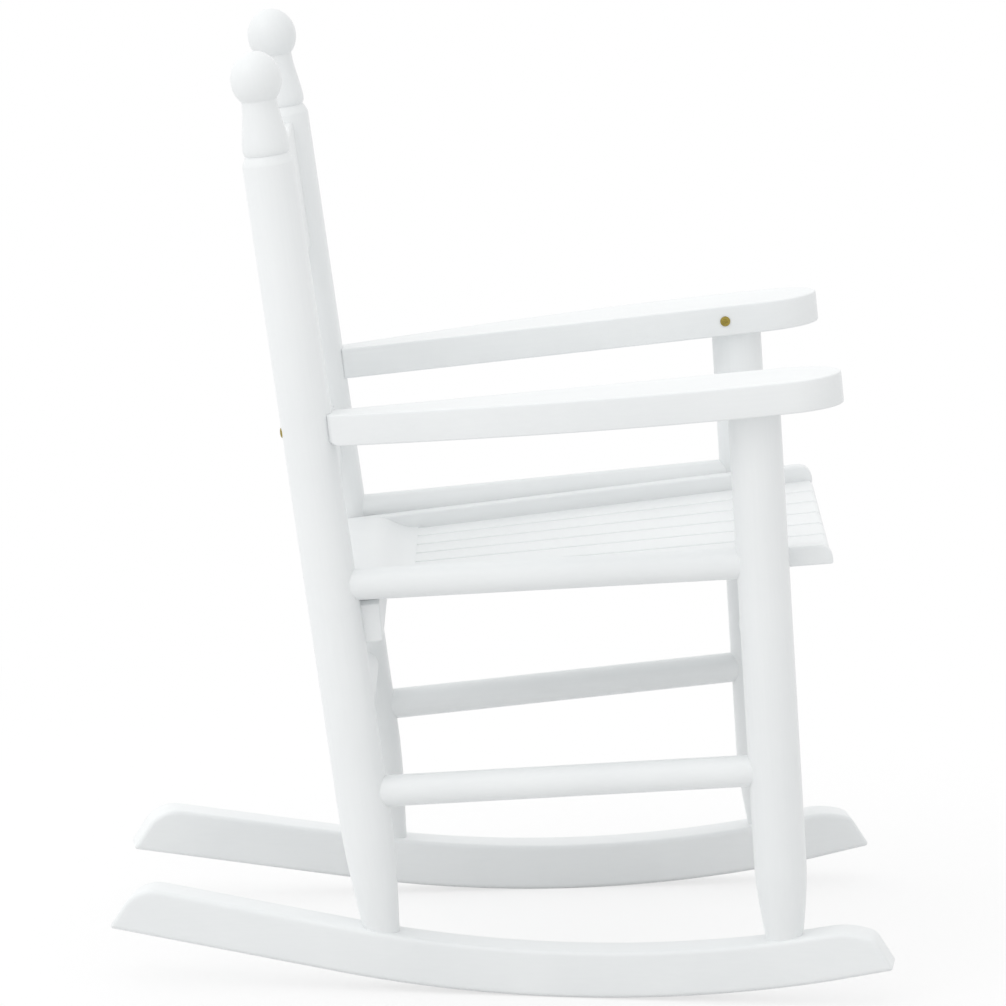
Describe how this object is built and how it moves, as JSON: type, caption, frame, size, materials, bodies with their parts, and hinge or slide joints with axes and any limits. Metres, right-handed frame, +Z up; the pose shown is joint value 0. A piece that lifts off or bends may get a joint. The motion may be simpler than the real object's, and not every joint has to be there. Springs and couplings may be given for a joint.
{
  "type": "child rocking chair",
  "caption": "Small white-painted wooden rocking chair with turned ball-topped rear posts, bowed rockers, paddle arms, a fanned slat seat and a slat back, for one small child.",
  "frame": {"origin": "on the floor, under the centre of the chair's bounding box", "axes": "+X towards the sitter's front, +Y to the sitter's left, +Z up"},
  "size_m": [0.4769, 0.3758, 0.5724],
  "materials": {
    "white_painted_wood": "smooth satin white paint",
    "brass_screw": "plain brass-plated"
  },
  "bodies": {
    "root": {"rocker_left": "white_painted_wood", "rocker_right": "white_painted_wood", "rear_post_left": "white_painted_wood", "rear_post_right": "white_painted_wood", "front_post_left": "white_painted_wood", "front_post_right": "white_painted_wood", "lower_rung_left": "white_painted_wood", "lower_rung_right": "white_painted_wood", "seat_rung_left": "white_painted_wood", "seat_rung_right": "white_painted_wood", "lower_front_stretcher": "white_painted_wood", "lower_rear_stretcher": "white_painted_wood", "front_seat_rail": "white_painted_wood", "rear_seat_rail": "white_painted_wood", "seat_side_slat_left": "white_painted_wood", "seat_side_slat_right": "white_painted_wood", "seat_slat_1": "white_painted_wood", "seat_slat_2": "white_painted_wood", "seat_slat_3": "white_painted_wood", "seat_slat_4": "white_painted_wood", "seat_slat_5": "white_painted_wood", "seat_slat_6": "white_painted_wood", "seat_slat_7": "white_painted_wood", "seat_rear_strip": "white_painted_wood", "crest_rail": "white_painted_wood", "lower_back_rail": "white_painted_wood", "back_slat_1": "white_painted_wood", "back_slat_2": "white_painted_wood", "back_slat_3": "white_painted_wood", "back_slat_4": "white_painted_wood", "back_slat_5": "white_painted_wood", "arm_left": "white_painted_wood", "arm_right": "white_painted_wood", "arm_front_screw_left": "brass_screw", "arm_front_screw_right": "brass_screw", "arm_rear_screw_left": "brass_screw", "arm_rear_screw_right": "brass_screw"}
  },
  "joints": []
}
